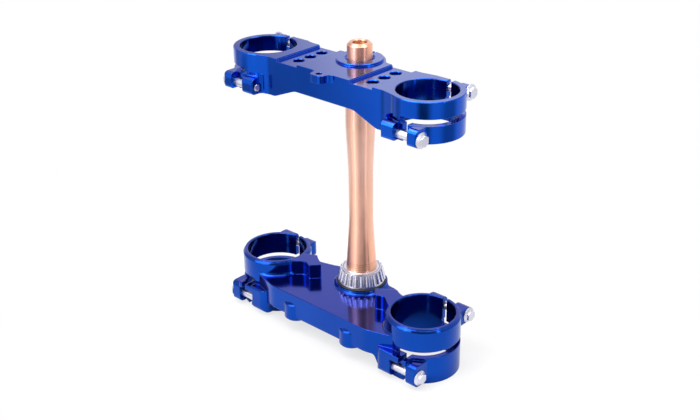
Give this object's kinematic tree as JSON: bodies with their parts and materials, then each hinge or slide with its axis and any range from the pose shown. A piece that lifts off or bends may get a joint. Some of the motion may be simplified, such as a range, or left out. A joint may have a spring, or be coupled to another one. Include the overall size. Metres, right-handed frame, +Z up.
{
  "type": "motorcycle triple clamp",
  "caption": "Upper and lower fork clamps joined by a steering stem, with pinch bolts, bar mount holes and the lower steering bearing.",
  "frame": {"origin": "on the stem's axis at its lower end", "axes": "+Z up along the stem, -Y towards the front wheel, +X towards the right-hand fork as seen from the front"},
  "size_m": [0.263, 0.0927, 0.2875],
  "materials": {
    "anodised_blue": "glossy blue anodised",
    "anodised_copper": "polished copper-coloured anodised",
    "bearing_steel": "ground",
    "bolt_silver": "satin",
    "seal_rubber": "matt"
  },
  "bodies": {
    "fork_crowns": {"upper_clamp": "anodised_blue", "lower_clamp": "anodised_blue", "stem": "anodised_copper", "bearing_cone": "bearing_steel", "dust_seal": "seal_rubber", "upper_front_right_bolt": "bolt_silver", "upper_front_left_bolt": "bolt_silver", "upper_rear_right_bolt": "bolt_silver", "upper_rear_left_bolt": "bolt_silver", "lower_front_right_bolt": "bolt_silver", "lower_front_left_bolt": "bolt_silver", "lower_rear_right_bolt": "bolt_silver", "lower_rear_left_bolt": "bolt_silver", "stem_pinch_bolt": "bolt_silver"},
    "roller_cage": {"bearing_cage": "bearing_steel", "bearing_rollers": "bearing_steel"}
  },
  "joints": [
    {"name": "cage_spin", "type": "hinge", "parent": "fork_crowns", "child": "roller_cage", "pos_m": [0, 0, 0.038], "axis": [0, 0, 1], "continuous": true}
  ]
}
